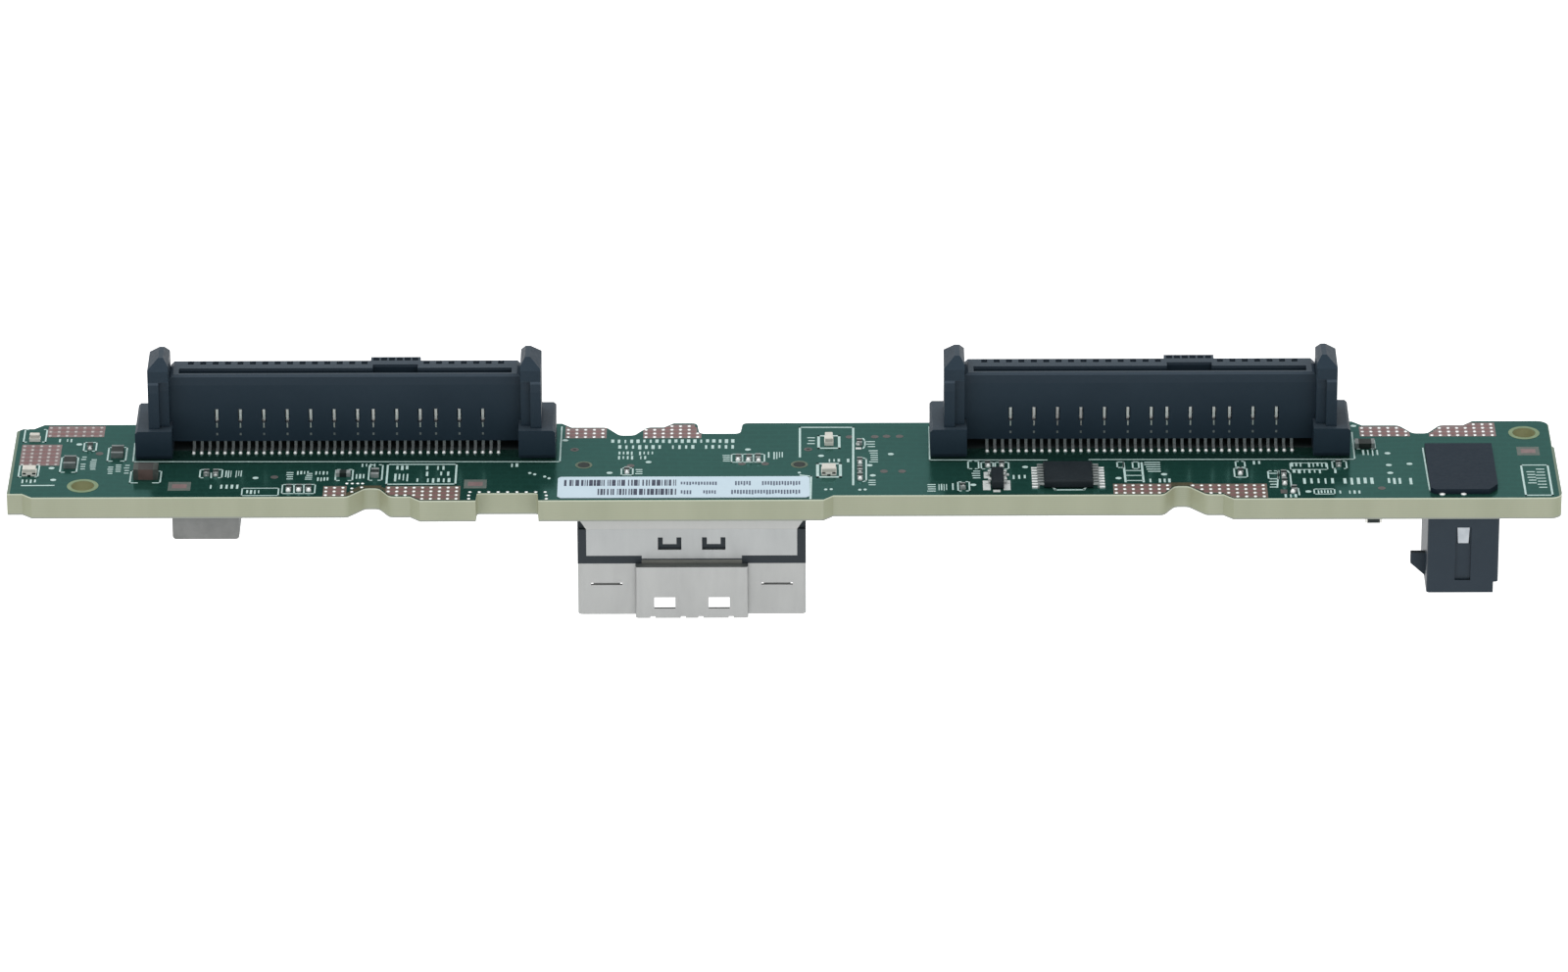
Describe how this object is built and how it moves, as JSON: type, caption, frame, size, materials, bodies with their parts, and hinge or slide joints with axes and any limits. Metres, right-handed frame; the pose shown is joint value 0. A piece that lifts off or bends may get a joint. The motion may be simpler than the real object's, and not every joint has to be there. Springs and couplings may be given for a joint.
{
  "type": "drive backplane board",
  "caption": "Narrow drive backplane board with upright drive sockets on top and a shielded cable socket, a power header and an inductor below.",
  "frame": {"origin": "centre of the board's top face", "axes": "+X along the board, +Y from its front edge to its back edge, +Z out of its top face towards the drives"},
  "size_m": [0.1578, 0.0188, 0.0255],
  "materials": {
    "board_laminate": "satin green solder mask over cream glass laminate",
    "socket_plastic": "fine moulded black",
    "header_plastic": "fine moulded black",
    "cover_plastic": "smooth moulded black",
    "contact_alloy": "tin plated copper alloy",
    "shell_steel": "nickel plated sheet",
    "pressed_core": "grey pressed powder",
    "label_paper": "coated white paper",
    "chip_ceramic": "dark glazed chip",
    "capacitor_ceramic": "brown fired ceramic",
    "chip_tin": "soldered tin",
    "chip_plastic": "moulded black",
    "lamp_base": "white moulded",
    "lamp_lens": "clear yellowish resin"
  },
  "bodies": {
    "root": {"circuit_board": "board_laminate", "cable_socket_shell": "shell_steel", "cable_socket_cover_plate": "shell_steel", "cable_socket_housing": "socket_plastic", "cable_socket_front_contacts": "contact_alloy", "cable_socket_rear_contacts": "contact_alloy", "power_header_housing": "header_plastic", "power_header_pins": "contact_alloy", "power_header_solder_nails": "contact_alloy", "pin_end_cover": "cover_plastic", "inductor_body": "pressed_core", "inductor_terminals": "contact_alloy", "paper_label": "label_paper", "small_chip_bodies": "chip_ceramic", "small_chip_ends": "chip_tin", "medium_chip_bodies": "chip_ceramic", "medium_chip_ends": "chip_tin", "large_ceramic_capacitor": "capacitor_ceramic", "large_ceramic_capacitor_ends": "chip_tin", "underside_capacitor": "capacitor_ceramic", "underside_capacitor_ends": "chip_tin", "status_lamp_bases": "lamp_base", "status_lamp_lenses": "lamp_lens", "control_chip": "chip_plastic", "control_chip_leads": "chip_tin", "transistor_body": "chip_plastic", "transistor_leads": "chip_tin", "left_drive_socket_housing": "socket_plastic", "left_drive_socket_front_contacts": "contact_alloy", "left_drive_socket_rear_contacts": "contact_alloy", "left_drive_socket_board_locks": "contact_alloy", "right_drive_socket_housing": "socket_plastic", "right_drive_socket_front_contacts": "contact_alloy", "right_drive_socket_rear_contacts": "contact_alloy", "right_drive_socket_board_locks": "contact_alloy"}
  },
  "joints": []
}
